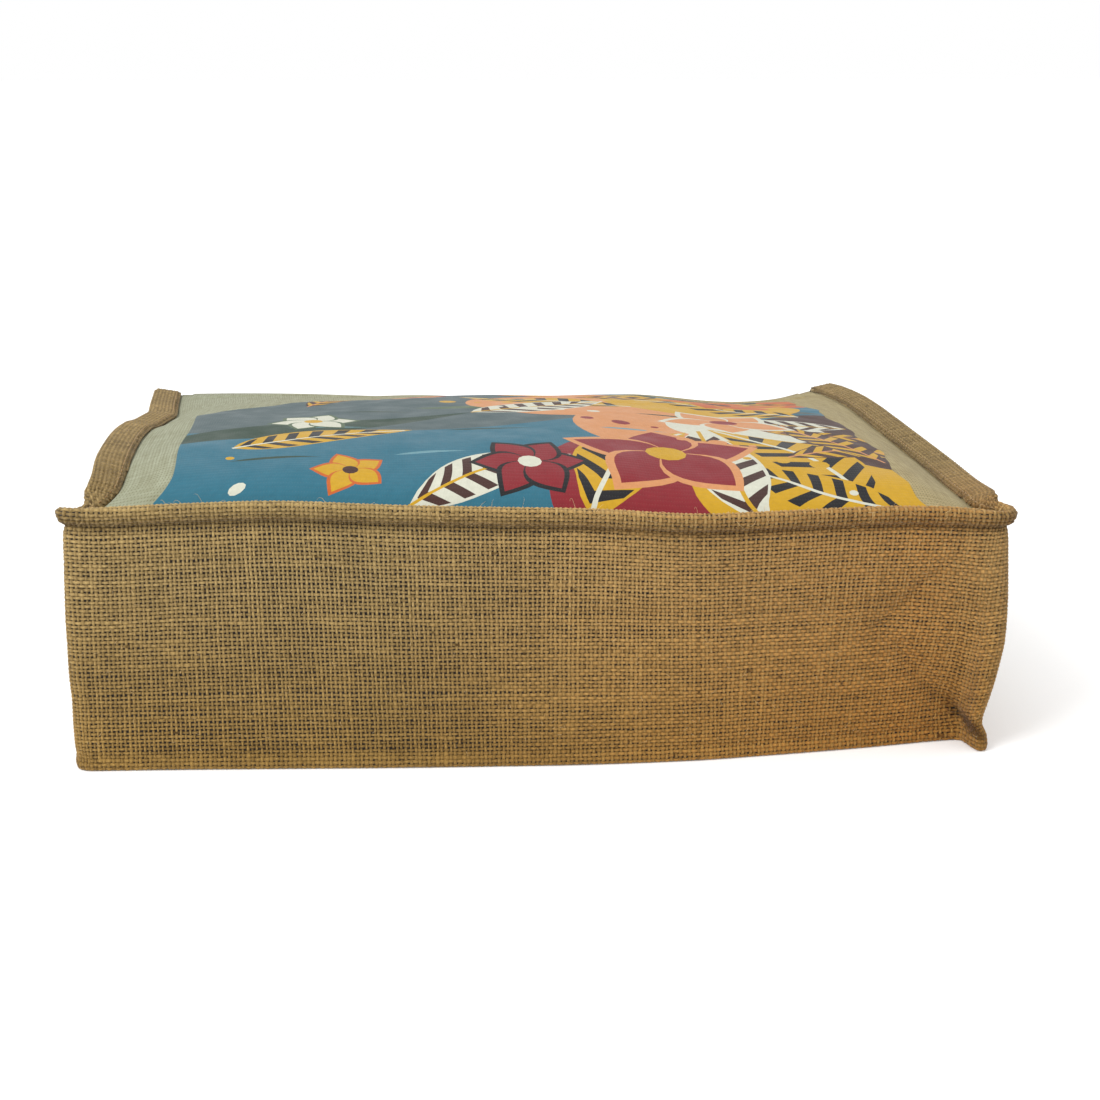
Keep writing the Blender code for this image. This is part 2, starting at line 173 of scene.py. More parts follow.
ACROSS = (0, .008, .02, .04, .07, .11, .16, .22, .28, .34, .40, .46, .52, .58, .64, .69, .74, .78, .82,
          .85, .88, .905, .93, .95, .97, .982, .992, 1)
UP_PANEL = (0, 3.2, 7, 13, 22, 35, 52, 74, 100, 128, 158, 188, 218, 248, 276, 300, 323, 325, 350)
FLOOR_EDGE, FLOOR_EDGE_FLAT, FLOOR_RAMP = 7.6, 3.4, 24.0  # how the back panel comes down from its seams
STEP_ASIDE, PUSH_ASIDE = 2.5, 7.0  # to find the flanges' directions, and the wall's
WALL_CLOTH = 104.0  # the wall's height along the cloth
PUFF_PEAK, UPPER_PUFF, LOWER_PUFF, FLANGE_PUFF = 5.0, 0.8, 0.5, 0.8
ROLLED_EDGE = ((1.1, -1.0), (0.5, -0.5), (0.25, -0.1))  # past the fold-over's end: deep, side
FLANGE_STEPS, HAIRPIN_STEPS, WALL_STEPS, FOOT_STEPS = 6, 8, 52, 3


def unit(v):
    return v / np.maximum(np.linalg.norm(v, axis=-1, keepdims=True), 1e-9)


def eased(t):
    t = np.clip(t, 0.0, 1.0)
    return t * t * (3 - 2 * t)


def bell(distance, reach):
    return np.exp(-((distance / reach) ** 2))


def refined(values, parts):
    """The values with each step between them cut into equal parts."""
    values = np.asarray(values, float)
    index = np.arange((len(values) - 1) * parts + 1) / parts
    return np.interp(index, np.arange(len(values)), values)


def along_rows(rows, at):
    """Smooth curves through rows whose first column is the place, read at many places."""
    rows, at = np.array(rows, float), np.atleast_1d(np.asarray(at, float))
    place, values = rows[:, 0], rows[:, 1:]
    i = np.clip(np.searchsorted(place, at, side="right") - 1, 0, len(place) - 2)
    before, after = np.maximum(i - 1, 0), np.minimum(i + 2, len(place) - 1)
    span = (place[i + 1] - place[i])[:, None]
    t = (at[:, None] - place[i][:, None]) / span
    ends = (before, i + 1), (i, after)
    into, away = ((values[b] - values[a]) / (place[b] - place[a])[:, None] * span for a, b in ends)
    s = t * t * (3 - 2 * t)
    return values[i] * (1 - s) + values[i + 1] * s + t * (1 - t) * (into * (1 - t) - away * t)


def seam_at(at):
    return SeamRow(*along_rows(SEAM_ROWS, np.clip(at, 0, ALL_ALONG)).T)


def left_seam(deep):
    """Places along the gusset that are this deep beside the front panel, on its left."""
    return BOTTOM_FROM * (1 - deep / LENGTH)


def right_seam(deep):
    return BOTTOM_TO + (ALL_ALONG - BOTTOM_TO) * deep / LENGTH


def bottom_seam(u):
    return BOTTOM_FROM + WIDTH * u


def round_seams(u, deep):
    """Places down the left seam, across the bottom and up the right seam."""
    return np.concatenate([left_seam(deep[::-1]), bottom_seam(u[1:]), right_seam(deep[1:])])


def from_fold(p, x, z, turn):
    """Places of points along and across a fold's line, which is turned by an angle about (x, z)."""
    c, s = math.cos(math.radians(turn)), math.sin(math.radians(turn))
    across, up = p[..., 0] - x, p[..., 2] - z
    return across * c + up * s, up * c - across * s


def gripped(t, grip):
    """How freely the wall moves, t of the way down it: not at all at its edges."""
    return min(1.0, grip * t * (1 - t))


def trough_at(p, t, facing):
    """How far the wall is pushed in at points, t of the way down it, by how much it faces front."""
    total = np.zeros(p.shape[:-1])
    for x, z, long, short, turn, depth in TROUGHS:
        a, b = from_fold(p, x, z, turn)
        total += depth * bell(a, long) * bell(b, short) * gripped(t, TROUGH_GRIP)
    for x, z, long, short, turn, depth, front in CREASES:
        a, b = from_fold(p, x, z, turn)
        held = gripped(t, CREASE_GRIP) * (1 - front * eased((FRONT_FROM - facing) / FRONT_EASE))
        total += depth * bell(a, long) * np.maximum(0, 1 - np.abs(b / short)) * held
    return total * eased(1 - p[..., 1] / TROUGHS_END)


def puffed(reach, most):
    """How far cloth stands out beside a row of stitches that holds it in."""
    return most * (reach / PUFF_PEAK) * math.exp(1 - reach / PUFF_PEAK)


def outward(rows, *names):
    """Level directions out of the bag, square to the way between two rows of places."""
    x, y = (getattr(rows[1], name) - getattr(rows[0], name) for name in names)
    return unit(np.stack([y, -x, np.zeros(len(x))], 1))


class Course:
    """The gusset's course at many places along it: its seam points and its flanges' directions."""

    def __init__(self, at):
        row = seam_at(at)
        self.wide, self.bow = row.wide[:, None], row.bow[:, None]
        self.top = np.stack([row.x, row.y, row.z], 1)
        self.foot = np.stack([row.foot_x, row.foot_y, np.full(len(row.x), FOOT_HIGH)], 1)
        near = [seam_at(at + reach) for reach in (-STEP_ASIDE, STEP_ASIDE)]
        wider = [seam_at(at + reach) for reach in (-PUSH_ASIDE, PUSH_ASIDE)]
        wider = [row._replace(x=row.x + row.foot_x, y=row.y + row.foot_y) for row in wider]
        top, foot = outward(near, "x", "y"), outward(near, "foot_x", "foot_y")
        self.out = outward(wider, "x", "y")
        a, b = np.radians(row.lean)[:, None], FOOT_LEAN
        self.top_way, self.top_side = top * np.sin(a) + UP * np.cos(a), UP * np.sin(a) - top * np.cos(a)
        self.foot_way = foot * math.sin(b) - UP * math.cos(b)
        self.foot_side = foot * -math.cos(b) - UP * math.sin(b)

    def on_top(self, deep, side):
        """Points of the upper flange: so deep in it, and so far over towards its fold-over."""
        return self.top + self.top_way * deep + self.top_side * side

    def on_foot(self, deep, side):
        return self.foot + self.foot_way * deep + self.foot_side * side

    def wall(self, t):
        """Points of the wall, t of the way from its upper seam line to its lower one."""
        p = self.top * (1 - t) + self.foot * t + self.out * (self.bow * 4 * t * (1 - t))
        puff = puffed(t * WALL_CLOTH, UPPER_PUFF) + puffed((1 - t) * WALL_CLOTH, LOWER_PUFF)
        x, z, reach, high, depth = WAIST
        drawn = depth * bell(p[:, 0] - x, reach) * np.maximum(0, 1 - np.abs(p[:, 2] - z) / high)
        p = p + self.out * (puff - trough_at(p, t, -self.out[:, 1]))[:, None]
        p[:, 0] -= drawn * gripped(t, CREASE_GRIP)
        return p


def hairpin(point, wide):
    """The turn of a flange's edge, as a half circle from one layer to the other."""
    turns = np.linspace(0, math.pi, HAIRPIN_STEPS + 1)
    return [point(wide + HALF_STEP * math.sin(a), HALF_STEP - HALF_STEP * math.cos(a)) for a in turns]


def gusset_section(course):
    """The middle of the gusset cloth at each place, from the front fold-over to the back one.

    Returns the points, and how far each lies down the cloth from the upper seam line.
    """
    wide = course.wide - HALF_STEP
    ways, foot_ways = np.linspace(0, 1, FLANGE_STEPS + 1), np.linspace(0, 1, FOOT_STEPS + 1)
    line = [course.on_top(FLANGE_TUCK - deep, LAYER_STEP + side) for deep, side in ROLLED_EDGE]
    line += [course.on_top(FLANGE_TUCK + (wide - FLANGE_TUCK) * w, LAYER_STEP) for w in ways[:-1]]
    line += hairpin(course.on_top, wide)[::-1]
    line += [course.on_top(wide + (FLANGE_ROOT - wide) * w, -FLANGE_PUFF * math.sin(math.pi * w) ** 2)
             for w in ways[1:]]
    first = len(line)
    line += [course.wall(t) for t in np.linspace(0, 1, WALL_STEPS + 1)]
    last = len(line) - 1
    line += [course.on_foot(FOOT_WIDE * w, 0) for w in foot_ways[1:-1]]
    line += hairpin(course.on_foot, FOOT_WIDE)
    line += [course.on_foot(FOOT_WIDE * (1 - (1 - FOOT_FOLD_END) * w), LAYER_STEP) for w in foot_ways[1:]]
    points = np.stack(line, 1)
    steps = np.linalg.norm(np.diff(points, axis=1), axis=2)
    down = np.concatenate([np.zeros((len(points), 1)), np.cumsum(steps, 1)], 1)
    top, low = down[:, first:first + 1], down[:, last:last + 1]
    in_wall = (down - top) / (low - top) * WALL_CLOTH
    down = np.where(down < top, down - top, np.where(down > low, down - low + WALL_CLOTH, in_wall))
    return points, down


def section_normals(points):
    """Outward directions of a sheet given as a grid of points, first along it and then down it."""
    return unit(np.cross(np.gradient(points, axis=1), np.gradient(points, axis=0)))


def read_rows(table, down, at):
    """Reads each place's column of points at the same distances down the cloth."""
    return np.stack([
        np.stack([np.interp(at, down[n], table[n, :, k]) for k in range(3)], 1) for n in range(len(table))
    ])


# ---- helpers for meshes and nodes

def add_to_scene(data):
    thing = bpy.data.objects.new(data.name, data)
    bpy.context.scene.collection.objects.link(thing)
    return thing


def new_piece(mesh, slot, *materials):
    for material in materials:
        mesh.materials.append(material)
    piece = add_to_scene(mesh)
    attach(piece, "root")
    return piece


def mesh_of(name, points, faces, maps=None, values=None):
    """A smooth mesh of bag points, with named maps of points (u, v) and named values of points."""
    mesh = bpy.data.meshes.new(name)
    mesh.from_pydata(((points - ORIGIN) * MM).tolist(), [], faces.tolist())
    corners = np.empty(len(mesh.loops), np.int32)
    mesh.loops.foreach_get("vertex_index", corners)
    for key, uv in (maps or {}).items():
        mesh.uv_layers.new(name=key).uv.foreach_set("vector", uv[corners].astype(np.float32).ravel())
    for key, value in (values or {}).items():
        mesh.attributes.new(key, "FLOAT", "POINT").data.foreach_set("value", value.astype(np.float32))
    mesh.shade_smooth()
    return mesh


def grid_faces(rows, columns):
    """Quads of a grid of points that is stored row by row."""
    a = (np.arange(rows - 1)[:, None] * columns + np.arange(columns - 1)).ravel()
    return np.stack([a, a + columns, a + columns + 1, a + 1], 1)


def thicken(piece, thick, hem_points, hem_thick, inner_slot):
    """Gives a sheet its thickness about its middle, more of it at the points of a hem."""
    shell = piece.modifiers.new("cloth thickness", "SOLIDIFY")
    shell.offset = 0
    shell.material_offset = shell.material_offset_rim = inner_slot
    hem = piece.vertex_groups.new(name="hem")
    hem.add(np.nonzero(hem_points)[0].tolist(), 1.0, "REPLACE")
    shell.vertex_group = hem.name
    shell.thickness = hem_thick * MM
    shell.thickness_vertex_group = thick / hem_thick


def wander(count, length, step):
    """Smooth random lines between -1 and 1: count lines of length values, a fresh value every step."""
    knots = RANDOM.uniform(-1, 1, (count, int(length / step) + 3))
    place = np.arange(length) / step + RANDOM.uniform(0, 1, (count, 1))
    low = place.astype(int)
    t = eased(place - low)
    rows = np.arange(count)[:, None]
    return knots[rows, low] * (1 - t) + knots[rows, low + 1] * t


class Nodes:
    """A short way to write a material's node tree."""

    def __init__(self, name):
        self.material = bpy.data.materials.new(name)
        self.material.use_nodes = True
        self.tree = self.material.node_tree
        self.shader = self.tree.nodes["Principled BSDF"]

    def add(self, kind, inputs=None, **settings):
        node = self.tree.nodes.new(kind)
        for key, value in settings.items():
            setattr(node, key, value)
        for key, value in (inputs or {}).items():
            self.put(node.inputs[key], value)
        return node

    def put(self, socket, value):
        if isinstance(value, bpy.types.NodeSocket):
            self.tree.links.new(value, socket)
        else:
            socket.default_value = value

    def math(self, operation, a, b=0.0):
        return self.add("ShaderNodeMath", {0: a, 1: b}, operation=operation).outputs[0]

    def times(self, a, b):
        return self.math("MULTIPLY", a, b)

    def vector(self, operation, a, b, key=1):
        return self.add("ShaderNodeVectorMath", {0: a, key: b}, operation=operation).outputs[0]

    def split(self, vector):
        return self.add("ShaderNodeSeparateXYZ", {0: vector}).outputs

    def place(self):
        return self.add("ShaderNodeTexCoord").outputs["Object"]

    def uv_map(self, name):
        return self.add("ShaderNodeUVMap", uv_map=name).outputs[0]

    def attribute(self, name, output="Fac"):
        return self.add("ShaderNodeAttribute", attribute_name=name).outputs[output]

    def mix(self, share, a, b, blend="MIX"):
        inputs = {0: share, 6: a, 7: b}
        return self.add("ShaderNodeMix", inputs, data_type="RGBA", blend_type=blend).outputs[2]

    def shaded(self, colour, factor):
        """The colour, darker or lighter by a factor."""
        grey = self.add("ShaderNodeCombineColor", {0: factor, 1: factor, 2: factor}).outputs[0]
        return self.mix(1.0, colour, grey, "MULTIPLY")

    def noise(self, vector, scale, detail=2.0, roughness=0.5):
        return self.add("ShaderNodeTexNoise", {
            "Vector": vector, "Scale": scale, "Detail": detail, "Roughness": roughness,
        }).outputs["Fac"]

    def ramp(self, value, low, high, to_low=0.0, to_high=1.0):
        return self.add("ShaderNodeMapRange", {
            "Value": value, "From Min": low, "From Max": high, "To Min": to_low, "To Max": to_high,
        }).outputs[0]

    def stretched(self, vector, x, y):
        return self.add("ShaderNodeMapping", {"Vector": vector, "Scale": (x, y, 1.0)}).outputs[0]

    def bump(self, height, distance):
        return self.add("ShaderNodeBump", {"Height": height, "Distance": distance}).outputs[0]

    def finish(self, colour, roughness, normal=None, specular=0.3, sheen=0.0):
        inputs = {"Base Color": colour, "Roughness": roughness, "Normal": normal,
                  "Specular IOR Level": specular, "Sheen Weight": sheen}
        for key, value in inputs.items():
            if value is not None:
                self.put(self.shader.inputs[key], value)
        return self.material


def linear(red, green, blue):
    """A colour given as it looks on a screen, 0 to 255, as the shader wants it."""
    return (*[((c / 255 + 0.055) / 1.055) ** 2.4 if c > 10 else c / 3294.6 for c in (red, green, blue)], 1)


# ---- materials

OLIVE_YARN = linear(83, 65, 35), linear(176, 150, 98)  # dark, light
ORANGE_YARN = linear(92, 60, 24), linear(184, 133, 70)
# Painted shade: this tint darkens the yarns from this height down to the table
LOW_SHADE, LOW_SHADE_FROM = (0.84, 0.72, 0.48, 1), 0.085  # from this height down, in metres
# Painted shade: the dark between the yarns, on the sheet below them and in the gaps of the burlap's inner
# side
GAP_SHADE = linear(40, 34, 26)
COOL_CREAM = linear(123, 123, 98), linear(151, 155, 133)  # dark, light
WARM_CREAM = linear(132, 117, 80), linear(164, 151, 112)
# Painted shade in the natural cloth's gaps
CREAM_HOLE_SHADE = linear(100, 92, 64)
# The orange tint comes in to the right and to the front, in metres, and is weaker at the right end. It is
# painted light: a warmer light on the right, an olive on the strips further back that stands in for the sky's
# reflection on them, and painted shade at the right end.
ORANGE_X, ORANGE_Y, ORANGE_END, ORANGE_END_SHARE = (-0.07, 0.18), (-0.06, -0.14), (0.165, 0.195), 0.55
THREADS_WANDER = 60.0, 3.0  # the length of the waves in a flat cloth's weave, and their reach


def yarn_material():
    """Jute yarn: its tone, which holds painted light and shade, streaks along the fibres, a tint of painted
    light, painted shade towards the table, and a twist in relief.
    """
    n = Nodes("burlap_yarn")
    uv, place = n.uv_map("yarn"), n.place()
    x, y, z = n.split(place)
    streaks = n.noise(n.stretched(uv, 0.5, 6.0), 1.0, 3.0, 0.6)
    share = n.math("ADD", n.times(n.attribute("tone"), 0.5), n.ramp(streaks, 0.3, 0.7, 0.25, 0.75))
    # painted light: the orange tint against the olive, set by place
    orange = n.times(n.times(n.ramp(x, *ORANGE_X), n.ramp(y, *ORANGE_Y)), n.attribute("warmth"))
    orange = n.times(orange, n.ramp(x, *ORANGE_END, 1.0, ORANGE_END_SHARE))
    dark, light = (n.mix(orange, *tones) for tones in zip(OLIVE_YARN, ORANGE_YARN))
    colour = n.mix(n.ramp(share, 0.0, 1.0), dark, light)
    # painted shade towards the table
    colour = n.mix(n.ramp(z, LOW_SHADE_FROM, 0.0), colour, LOW_SHADE, "MULTIPLY")
    colour = n.shaded(colour, n.ramp(n.noise(place, 14.0), 0.35, 0.65, 0.90, 1.06))
    twist = n.add("ShaderNodeTexWave", {
        "Vector": n.stretched(uv, 1.0, 1.4), "Scale": 0.55, "Distortion": 2.0, "Detail": 2.0,
    }, bands_direction="DIAGONAL").outputs["Fac"]
    return n.finish(colour, 0.9, n.bump(n.math("ADD", n.times(twist, 0.6), streaks), 0.00018), 0.12, 0.1)


def weave_nodes(n, uv, pitches, fill):
    """Plain weave on a map in millimetres. Returns its height, and 0 in its gaps and 1 off them."""
    cells = [n.math("DIVIDE", way, pitch) for way, pitch in zip(n.split(uv), pitches)]
    pair = n.times(n.math("ADD", *[n.math("FLOOR", cell) for cell in cells]), 0.5)
    over = n.math("SUBTRACT", n.times(n.math("FRACT", pair), 4.0), 1.0)
    backs, lifts = [], []
    for cell in cells:
        aside = n.math("SUBTRACT", n.math("FRACT", cell), 0.5)
        flat = n.math("POWER", n.math("DIVIDE", aside, fill / 2), 2.0)
        backs.append(n.math("SQRT", n.math("MAXIMUM", n.math("SUBTRACT", 1.0, flat), 0.0)))
        lifts.append(n.times(n.times(n.math("COSINE", n.times(aside, math.pi)), over), 0.5))
    weft = n.times(backs[1], n.math("ADD", 1.0, lifts[0]))
    warp = n.times(backs[0], n.math("SUBTRACT", 1.0, lifts[1]))
    height = n.math("MAXIMUM", weft, warp)
    return height, n.ramp(height, 0.15, 0.6)


def wavy_map(n):
    """A flat cloth's map with its threads wandering a little."""
    uv, (size, reach) = n.uv_map("cloth"), THREADS_WANDER
    shift = n.add("ShaderNodeTexNoise", {"Vector": uv, "Scale": 1 / size, "Detail": 1.0}).outputs["Color"]
    centred = n.vector("SUBTRACT", shift, (0.5, 0.5, 0.5))
    return n.vector("ADD", uv, n.vector("SCALE", centred, reach, "Scale"))


def cloth_material(name, left, right, gap, pitches, fill, roughness, relief):
    """A flat cloth that shows its plain weave. left and right are its dark and light tones there, and gap the
    painted shade in its gaps.
    """
    n = Nodes(name)
    uv = wavy_map(n)
    height, solid = weave_nodes(n, uv, pitches, fill)
    threads = [n.noise(n.stretched(uv, *stretch), 1.0) for stretch in ((0.05, 0.6), (0.6, 0.05))]
    side = n.ramp(n.split(n.place())[0], -0.15, 0.15)
    dark, light = (n.mix(side, *tones) for tones in zip(left, right))
    # painted shade in the gaps
    colour = n.mix(solid, gap, n.mix(n.ramp(n.math("ADD", *threads), 0.6, 1.4), dark, light))
    return n.finish(colour, roughness, n.bump(height, relief), 0.15, 0.05)


def fibre_material(name, colour, roughness):
    n = Nodes(name)
    shade = n.ramp(n.noise(n.place(), 260.0), 0.3, 0.7, 0.75, 1.15)
    return n.finish(n.shaded(colour, shade), roughness, None, 0.2, 0.2)


# ---- the gusset

YARN_THICK = 0.40  # half the thickness of a yarn
YARN_LIFT = 0.24  # how far a yarn rises and sinks as it weaves
YARN_SEAT = 0.42  # middle of the weave over the middle of the cloth
# The yarns that run along the gusset and down it: how far apart they are, the share of that which each
# fills, and their tone, both where the weave is open and where it is tight, and their orange tint.
YarnWay = namedtuple("YarnWay", "pitch open_width tight_width open_tone tight_tone warmth")
ALONG = YarnWay(1.80, 0.59, 0.70, -0.15, 0.20, 0.95)
DOWN = YarnWay(1.92, 0.48, 0.63, 0.25, -0.20, 0.50)
OPEN_AT, OPEN_REACH = -95.0, 110.0  # the weave is most open here along X, and this far round
TIGHT_CLOUD, MOST_TIGHT = 0.30, 1.25  # how uneven that is, and its limit
FLANGE_TIGHT, STRIP_TIGHT = 1.7, 0.85  # in the flanges, and the share of that in the side strips
# How yarns vary: spread from one to another, sway along one, length of a sway in steps
WIDTH_VARIES, ASIDE_VARIES, TONE_VARIES = (0.07, 0.18, 4.0), (0.04, 0.12, 7.0), (0.12, 0.26, 5.0)
SLUB_STEP, SLUB_FROM, SLUB_GAIN = 14.0, 0.7, 1.6  # thick places
FLECK_STEP, FLECK_FROM, FLECK_TONE = 3.0, 0.94, 1.6  # dark flecks
# Painted highlight where a yarn lies on top, and painted shade, with some dirt, where it dips under
CROSSING_TONE = 0.62  # a yarn is lighter where it lies on top
# The raw edge is darker with its rolled brown edge and a painted shadow along it, the side strips are darker,
# and the ears at the corners get painted shade
RAW_EDGE_TONE, RAW_EDGE_IN, RAW_EDGE_REACH, STRIP_TONE = -0.5, 1.0, 1.6, -0.35
EAR_SHADE, EAR_AT, EAR_WIDE, EAR_REACH = -0.5, 202.0, 12.0, 30.0
# Painted highlight on the rim's top, where it catches the light, and painted shade in the groove along the
# seam line below it: down, tone
FLANGE_SHADE = (
    (-14, 0), (-12, 0.35), (-10, 0.3), (-8, -0.1), (-5.5, -0.4), (-3, -0.85), (-0.5, -0.9), (2, -0.3), (5, 0),
)
BACKING_THICK, BACKING_SINK = 0.75, 0.28  # the sheet below the yarns, and how far its middle is sunk
BACKING_HEM = 1.6  # its thickness at the mouth, where the burlap is turned in
HEM_OFF_FOLD = 9.0  # from the seam lines to the hem
ROLLED_STEPS = 4  # the fold-over's edge, in steps of the section
BOTTOM_REACH = 24.0  # the finely made yarns go this far round the corners
STRIP_OFF_CORNER, OFF_EDGE = 6.0, 0.2  # from a corner to its side strip, from a raw edge to the yarns
SEARCH_PLACES = 2200  # to measure the gusset's length

# A yarn's profile: aside in shares of its width, up in shares of its thickness
FINE_YARN = ((-0.5, -0.9), (-0.27, 0.72), (0.27, 0.72), (0.5, -0.9))
PLAIN_YARN = ((-0.5, -0.7), (0.0, 0.9), (0.5, -0.7))
MAP_STEP, BAKE_FILL = 3.7, 0.9  # from one yarn's map to the next, in pitches; a yarn's share of its lane


class Weave:
    """The burlap's yarns as places on the gusset, two places to each crossing in both directions."""

    def __init__(self):
        places = np.linspace(0, ALL_ALONG, SEARCH_PLACES)
        points, down = gusset_section(Course(places))
        steps = np.diff(points[:, np.abs(down[0] - WALL_CLOTH / 2).argmin()], axis=0)
        length = np.concatenate([[0.0], np.cumsum(np.linalg.norm(steps, axis=1))])
        self.columns = int(length[-1] / DOWN.pitch)
        self.along = np.interp(np.linspace(0, length[-1], 2 * self.columns + 1), length, places)
        points, down = gusset_section(Course(self.along))
        self.rows = int((down.max() - down.min()) / ALONG.pitch)
        self.down = down.min() + (np.arange(2 * self.rows + 1) / 2) * ALONG.pitch
        self.points = read_rows(points, down, self.down)
        self.normal = unit(read_rows(section_normals(points), down, self.down))
        self.along_way = unit(np.gradient(self.points, axis=0))
        self.down_way = unit(np.cross(self.normal, self.along_way))
        first, last = down[:, :1], down[:, -1:]
        self.here = (self.down >= first + OFF_EDGE) & (self.down <= last - OFF_EDGE)
        self.in_flange = np.broadcast_to((self.down < 0) | (self.down > WALL_CLOTH), self.here.shape)
        off_middle = np.abs(self.along - (BOTTOM_FROM + BOTTOM_TO) / 2)[:, None]
        self.strip = (off_middle > WIDTH / 2 + STRIP_OFF_CORNER) & (self.down < 0)
        self.shade = self.shading(self.down - first)

    def shading(self, inwards):
        """Painted highlight and shade from how the cloth lies, the raw edge's own brown, and the darker side
        strips. inwards: its way from the raw edge.
        """
        near = eased(1 - self.points[..., 1] / EAR_REACH)
        x, z, turn, long, short, tone = SLIT_SHADOW
        a, b = from_fold(self.points, x, z, turn)
        return (
            np.interp(self.down, *np.array(FLANGE_SHADE).T) * ~self.strip
            + RAW_EDGE_TONE * bell(inwards - RAW_EDGE_IN, RAW_EDGE_REACH) + STRIP_TONE * self.strip
            + EAR_SHADE * bell(np.abs(self.points[..., 0]) - EAR_AT, EAR_WIDE) * near * self.in_flange
            + tone * bell(a, long) * bell(b, short) * near
        )

    def yarns(self, runs_along, first, last):
        """Each yarn's middle line, normals, side directions, presence, flange share and shade."""
        pick = slice(2 * first, 2 * last + 1)
        side = self.down_way if runs_along else self.along_way
        flange = np.where(self.strip, STRIP_TIGHT, 1.0) * self.in_flange
        grids = [g[pick] for g in (self.points, self.normal, side, self.here, flange, self.shade)]
        return [(g.swapaxes(0, 1) if runs_along else g)[1::2] for g in grids]


def varied(count, length, spread, sway, step):
    return RANDOM.normal(0, spread, (count, 1)) + sway * wander(count, length, step)


def yarn_mesh(weave, name, runs_along, spans, fine):
    """All the yarns that run one way, over the given spans of columns."""
    way, crossed = (ALONG, DOWN) if runs_along else (DOWN, ALONG)
    step = crossed.pitch / 2 if fine else crossed.pitch
    aside_by, up_by = np.array(FINE_YARN if fine else PLAIN_YARN).T
    lanes = sum(weave.rows if runs_along else last - first for first, last in spans)
    parts, faces, maps, bakes, tones = [], [], [], [], []
    start = lane = 0
    for first, last in spans:
        middle, normal, side, here, flange, shade = weave.yarns(runs_along, first, last)
        count, length = here.shape
        # 1 where a yarn lies over the other family, -1 where it lies under, 0 halfway between crossings
        place = np.arange(length)
        parity = (np.arange(count)[:, None] + (place - 1) // 2 + first) % 2
        over = np.where(parity == 0, 1.0, -1.0) * (place % 2) * (1 if runs_along else -1)
        if not fine:
            kept = [0, *range(1, length, 2), length - 1]
            middle, normal, side, here, flange, shade, over = (
                grid[:, kept] for grid in (middle, normal, side, here, flange, shade, over)
            )
            length = len(kept)
        x, z = middle[..., 0], middle[..., 2]
        tight = 1 - bell(x - OPEN_AT, OPEN_REACH) + TIGHT_CLOUD * np.sin(x / 31 + 1) * np.sin(z / 17 + x / 57)
        tight = np.where(flange > 0, FLANGE_TIGHT * flange, np.clip(tight, 0, MOST_TIGHT))
        slub = np.maximum(wander(count, length, SLUB_STEP) - SLUB_FROM, 0) * SLUB_GAIN
        width = way.pitch * (way.open_width * (1 - tight) + way.tight_width * tight)
        width = width * (1 + varied(count, length, *WIDTH_VARIES) + slub)
        aside = way.pitch * varied(count, length, *ASIDE_VARIES)
        fleck = np.maximum(wander(count, length, FLECK_STEP) - FLECK_FROM, 0) / (1 - FLECK_FROM)
        tone = np.where(flange > 0, 0.0, way.open_tone * (1 - tight) + way.tight_tone * tight)
        # the tone holds painted light and shade from the crossings and the lie of the cloth, besides the
        # yarn's own tone, flecks and spread
        tone = tone + CROSSING_TONE * over + shade - FLECK_TONE * fleck + varied(count, length, *TONE_VARIES)
        centre = middle + normal * (YARN_SEAT + YARN_LIFT * over)[..., None] + side * aside[..., None]
        grid = (
            centre[:, :, None] + side[:, :, None] * (width[..., None] * aside_by)[..., None]
            + normal[:, :, None] * (YARN_THICK * up_by)[:, None]
        )
        index = start + np.arange(grid[..., 0].size).reshape(grid.shape[:3])
        quads = np.stack([index[:, :-1, :-1], index[:, 1:, :-1], index[:, 1:, 1:], index[:, :-1, 1:]], -1)
        quads = quads[here[:, :-1] & here[:, 1:]]
        faces.append((quads if runs_along else quads[..., ::-1]).reshape(-1, 4))
        parts.append(grid.reshape(-1, 3))
        run, number = np.arange(length)[:, None], (lane + np.arange(count))[:, None, None]
        for flat, u, v in (
            (maps, run * step, (number * MAP_STEP + aside_by) * way.pitch),
            (bakes, run / length, (number + 0.5 + aside_by * BAKE_FILL) / lanes),
        ):
            flat.append(np.stack(np.broadcast_arrays(u, v), -1).reshape(-1, 2))
        tones.append(np.broadcast_to(tone[..., None], index.shape).ravel())
        start += index.size
        lane += count
    kept, used = np.unique(np.concatenate(faces), return_inverse=True)
    maps = {"yarn": np.concatenate(maps)[kept], "OFBake": np.concatenate(bakes)[kept]}
    values = {"tone": np.concatenate(tones)[kept], "warmth": np.full(len(kept), way.warmth)}
    return mesh_of(name, np.concatenate(parts)[kept], used.reshape(-1, 4), maps, values)


def make_yarns(material):
    weave = Weave()
    ends = BOTTOM_FROM - BOTTOM_REACH, BOTTOM_TO + BOTTOM_REACH
    left, right = (int(n) // 2 for n in np.searchsorted(weave.along, ends))
    middle = (left + right) // 2
    zones = (
        ("bottom_left", [(left, middle)], True), ("bottom_right", [(middle, right)], True),
        ("sides", [(0, left), (right, weave.columns)], False),
    )
    made = []
    for way, runs_along in (("along", True), ("down", False)):
        for zone, spans, fine in zones:
            mesh = yarn_mesh(weave, f"yarns_{way}_{zone}", runs_along, spans, fine)
            made.append(new_piece(mesh, "burlap", material))
    return made, weave


